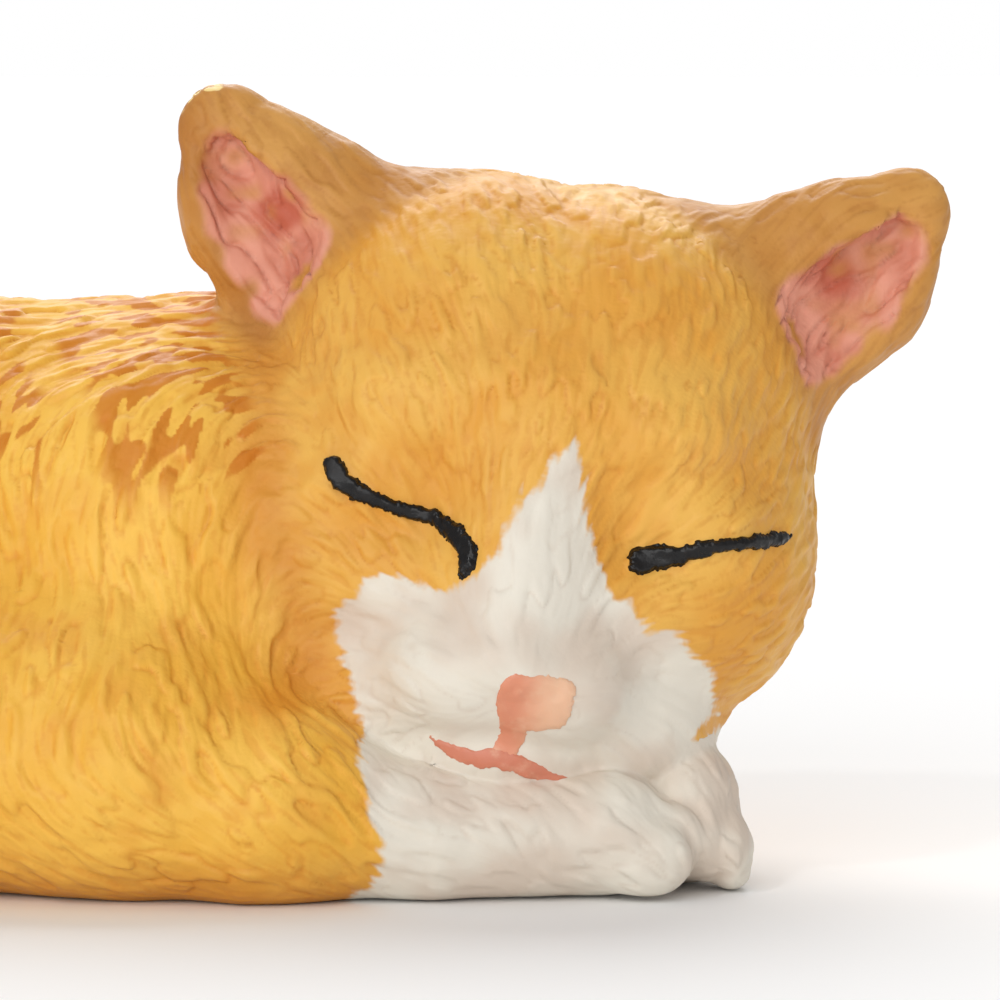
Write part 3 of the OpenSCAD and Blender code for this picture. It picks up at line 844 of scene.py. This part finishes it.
def coat():
    """Satin painted fur: ginger in several tones, brown tufts, white with a feathered edge, pink ears, with
    painted shade in the creases, grooves, neck fold, ear hollows and near the floor, and a painted highlight
    on the tufts' ridges.
    """
    g = Graph("painted_coat")
    names = ("tuft", "crease", "white_edge", "pink", "ear_cup_shade", "bare", "stripe", "neck_fold_shade", "head_share",
             "ear_share")
    tuft, crease, white, pink, ear_cup_shade, bare, stripe, neck_fold_shade, head, ear = (g.attribute(k) for k in names)
    cloud, wash, grit, hair = g.noise(210, 2), g.noise(420, 1), g.noise(2600, 5, 0.6), g.hairs(3600, 0.0011)

    def by_place(tones):
        body, on_head, on_ear = (srgb(*tone) for tone in tones)
        return g.mix(ear, g.mix(head, body, on_head), on_ear)

    light, middle, deep = by_place(GINGER_LIGHT), by_place(GINGER_MIDDLE), by_place(GINGER_DEEP)
    tone = g.mix(g.span(cloud, 0.36, 0.62), middle, light)
    tone = g.mix(g.span(wash, 0.5, 0.72, 0, 0.35), tone, deep)
    # Painted highlight: the raised ridges of the tufts are lighter, as dry-brushed paint is on a real
    # figurine
    tone = g.mix(g.span(tuft, 0.2, 1.4, 0, 0.3), tone, light)
    # Painted shade: darker ginger in the creases between tufts
    tone = g.mix(g.maths("MULTIPLY", crease, 0.45), tone, deep)
    # Painted shade: darker ginger in the low grooves of the fine hairs
    tone = g.mix(g.span(hair, 0.5, 0.38, 0, 0.3), tone, deep)
    # Painted shade: darker ginger in the fold between cheek and body
    tone = g.mix(g.maths("MULTIPLY", neck_fold_shade, 0.6), tone, deep)
    tone = g.mix(g.maths("MULTIPLY", g.span(stripe, 0.1, 0.8), 0.8), tone, srgb(*BROWN_TUFT))
    # Painted shade: darker brown towards the bottom, where the body curves under to the floor
    height = g.node("ShaderNodeSeparateXYZ", "Z", {0: g.node("ShaderNodeTexCoord", "Object")})
    low = g.span(g.maths("ADD", height, g.maths("MULTIPLY", cloud, 0.002)), 0.0040, 0.0012)
    tone = g.mix(g.maths("MULTIPLY", low, 0.55), tone, srgb(*FOOT_PAINTED_SHADE))
    tone = g.mix(g.span(bare, 0.3, 0.6), tone, srgb(*BARE_EDGE))
    inner = g.mix(g.span(wash, 0.4, 0.65), srgb(*EAR_PINK_LIGHT), srgb(*EAR_PINK_DEEP))
    # Painted shade: deep red in the hollow of the ear cups
    inner = g.mix(ear_cup_shade, inner, srgb(*EAR_CUP_SHADE))
    tone = g.mix(pink, tone, inner)
    edge = g.maths("ADD", white, g.maths("MULTIPLY", g.maths("SUBTRACT", hair, 0.5), 1.4))
    chalk = g.mix(g.span(cloud, 0.42, 0.62), srgb(*CHALK), srgb(*CHALK_WARM))
    # Painted shade: greyer white in the creases between tufts
    chalk = g.mix(g.maths("MULTIPLY", crease, 0.3), chalk, srgb(*CHALK_CREASE_SHADE))
    tone = g.mix(g.span(edge, 0.2, -0.2), tone, chalk)
    relief = g.maths("ADD", hair, g.maths("MULTIPLY", grit, 0.12))
    relief = g.maths("MULTIPLY", relief, g.span(white, -0.4, 0.3, 0.35, 1.0))
    bump = g.node("ShaderNodeBump", 0, {"Strength": 0.6, "Distance": 0.0002, "Height": relief})
    g.set(Base_Color=tone, Roughness=g.span(g.noise(900), 0.3, 0.7, 0.4, 0.55), Normal=bump,
          Specular_IOR_Level=0.35, Coat_Weight=0.03, Coat_Roughness=0.3, IOR=1.4)
    return g.material


def black_paint():
    g = Graph("black_enamel")
    grit = g.noise(1500, 4, 0.6)
    g.set(Base_Color=g.mix(g.span(grit, 0.4, 0.8), srgb(*BLACK), srgb(*BLACK_WORN)),
          Roughness=g.span(grit, 0.3, 0.7, 0.22, 0.4), Specular_IOR_Level=0.35,
          Normal=g.node("ShaderNodeBump", 0, {"Strength": 0.5, "Distance": 0.00008, "Height": grit}))
    return g.material


PINK_SOFTNESS = 0.9    # half the width over which one pink turns into the other


def pink_paint(name, left, right, border):
    """Satin pink, of one tone left of the border and another right of it."""
    g = Graph(name)
    grit = g.noise(1300, 4, 0.6)
    across = g.attribute("across")
    place_across = g.maths("ADD", across, g.maths("MULTIPLY", grit, 0.3))
    tone = g.mix(g.span(place_across, border - PINK_SOFTNESS, border + PINK_SOFTNESS), left, right)
    tone = g.mix(g.span(grit, 0.5, 0.8, 0, 0.35), tone, srgb(*PINK_SCUFF))
    g.set(Base_Color=tone, Roughness=0.42, Coat_Weight=0.15, Coat_Roughness=0.3,
          Subsurface_Weight=0.1, Subsurface_Radius=(1.0, 0.5, 0.3), Subsurface_Scale=0.0008,
          Normal=g.node("ShaderNodeBump", 0, {"Strength": 0.3, "Distance": 0.00005, "Height": grit}))
    return g.material


PAINTED_COAT, BLACK_PAINT = coat(), black_paint()


def place(obj, node, material):
    obj.data.materials.append(material)
    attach(obj, "root")
    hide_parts(node)


for piece in PIECES:
    place(casting(piece), piece, PAINTED_COAT)
for line in ("eye_line_right", "eye_line_left"):
    place(bead(line, height=0.16), line, BLACK_PAINT)
place(bead("nose", height=0.06), "nose",
      pink_paint("nose_paint", srgb(*NOSE_LEFT), srgb(*NOSE_RIGHT), border=1.3))
place(bead("mouth", height=0.08), "mouth",
      pink_paint("mouth_paint", srgb(*LIP), srgb(*LIP), border=20.0))


# ---- stage, light and camera ---------------------------------------------------------------


def stage_floor():
    size = 3.0    # metres each way
    mesh = bpy.data.meshes.new("floor")
    corners = [(-size, -size, 0), (size, -size, 0), (size, size, 0), (-size, size, 0)]
    mesh.from_pydata(corners, [], [(0, 1, 2, 3)])
    floor = bpy.data.objects.new("floor", mesh)
    bpy.context.scene.collection.objects.link(floor)
    g = Graph("floor")
    g.set(Base_Color=(0.92, 0.92, 0.92, 1), Roughness=0.9, Specular_IOR_Level=0.1)
    mesh.materials.append(g.material)


def sun(name, direction, spread, strength):
    lamp = bpy.data.lights.new(name, "SUN")
    lamp.angle, lamp.energy = math.radians(spread), strength
    obj = bpy.data.objects.new(name, lamp)
    obj.rotation_euler = Vector(direction).to_track_quat("-Z", "Y").to_euler()
    bpy.context.scene.collection.objects.link(obj)


def studio_world(shown, lighting):
    """A white surround, shown brighter than it lights the object."""
    world = bpy.data.worlds.new("studio")
    world.use_nodes = True
    tree = world.node_tree
    background = tree.nodes["Background"]
    background.inputs[0].default_value = (1, 1, 1, 1)
    path = tree.nodes.new("ShaderNodeLightPath")
    span = tree.nodes.new("ShaderNodeMapRange")
    span.inputs[3].default_value, span.inputs[4].default_value = lighting, shown
    tree.links.new(path.outputs["Is Camera Ray"], span.inputs[0])
    tree.links.new(span.outputs[0], background.inputs[1])
    bpy.context.scene.world = world


stage_floor()
sun("back", (0.05, -1.0, -1.0), spread=50, strength=2.0)
sun("front", (0.3, 0.9, -0.2), spread=60, strength=1.7)
sun("sparkle", (0.5, 0.6, -0.8), spread=5, strength=0.25)
studio_world(shown=1.0, lighting=0.48)
bpy.context.scene.view_settings.view_transform = "Standard"

LENS, SENSOR = 200.0, 36.0
VIEW_WIDTH = 41.3 * MM                # what the picture spans at the face
ELEVATION = math.radians(5.0)
AIM_FROM_HEAD = np.array([-1.2, -9.0, -0.3])
camera_data = bpy.data.cameras.new("camera")
camera_data.lens, camera_data.sensor_width = LENS, SENSOR
camera_data.clip_start, camera_data.clip_end = 0.01, 10
camera = bpy.data.objects.new("camera", camera_data)
bpy.context.scene.collection.objects.link(camera)
aim = Vector(HEAD + AIM_FROM_HEAD) * MM
reach = VIEW_WIDTH * LENS / SENSOR
camera.location = aim + Vector((0, -math.cos(ELEVATION), math.sin(ELEVATION))) * reach
camera.rotation_euler = (aim - camera.location).to_track_quat("-Z", "Y").to_euler()
bpy.context.scene.camera = camera
